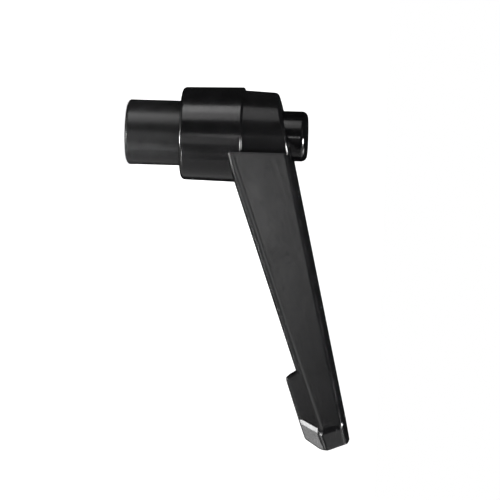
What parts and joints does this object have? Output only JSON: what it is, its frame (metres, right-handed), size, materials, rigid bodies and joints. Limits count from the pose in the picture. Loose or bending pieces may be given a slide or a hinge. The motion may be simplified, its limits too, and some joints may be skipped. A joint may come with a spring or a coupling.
{
  "type": "adjustable clamping lever",
  "caption": "Black adjustable clamping lever: a cast arm with a hooked tip and a hub on a toothed, threaded insert, held by a spring and a shoulder screw.",
  "frame": {"origin": "centre of the insert's clamping face, on the thread axis", "axes": "+Z along the thread axis from the clamping face to the screw head, +X from the hub along the arm to its hooked tip, Y across the width"},
  "size_m": [0.0721, 0.019, 0.0463],
  "materials": {
    "coated_casting": "satin black powder coat on a zinc casting",
    "black_oxide_steel": "matte black oxide on turned steel",
    "black_screw_steel": "glossy black oxide, oiled",
    "spring_steel": "bright drawn wire"
  },
  "bodies": {
    "insert": {"threaded_insert": "black_oxide_steel", "retaining_screw": "black_screw_steel"},
    "spring": {"spring": "spring_steel"},
    "lever": {"lever": "coated_casting"}
  },
  "joints": [
    {"name": "swivel", "type": "hinge", "parent": "insert", "child": "spring", "pos_m": [0, 0, 0.02], "axis": [0, 0, 1], "continuous": true},
    {"name": "lift", "type": "slide", "parent": "spring", "child": "lever", "axis": [0, 0, 1], "range_m": [0, 0.0035], "stiffness_N_per_m": 1800, "springref_m": -0.004, "deforming": ["spring"]}
  ]
}
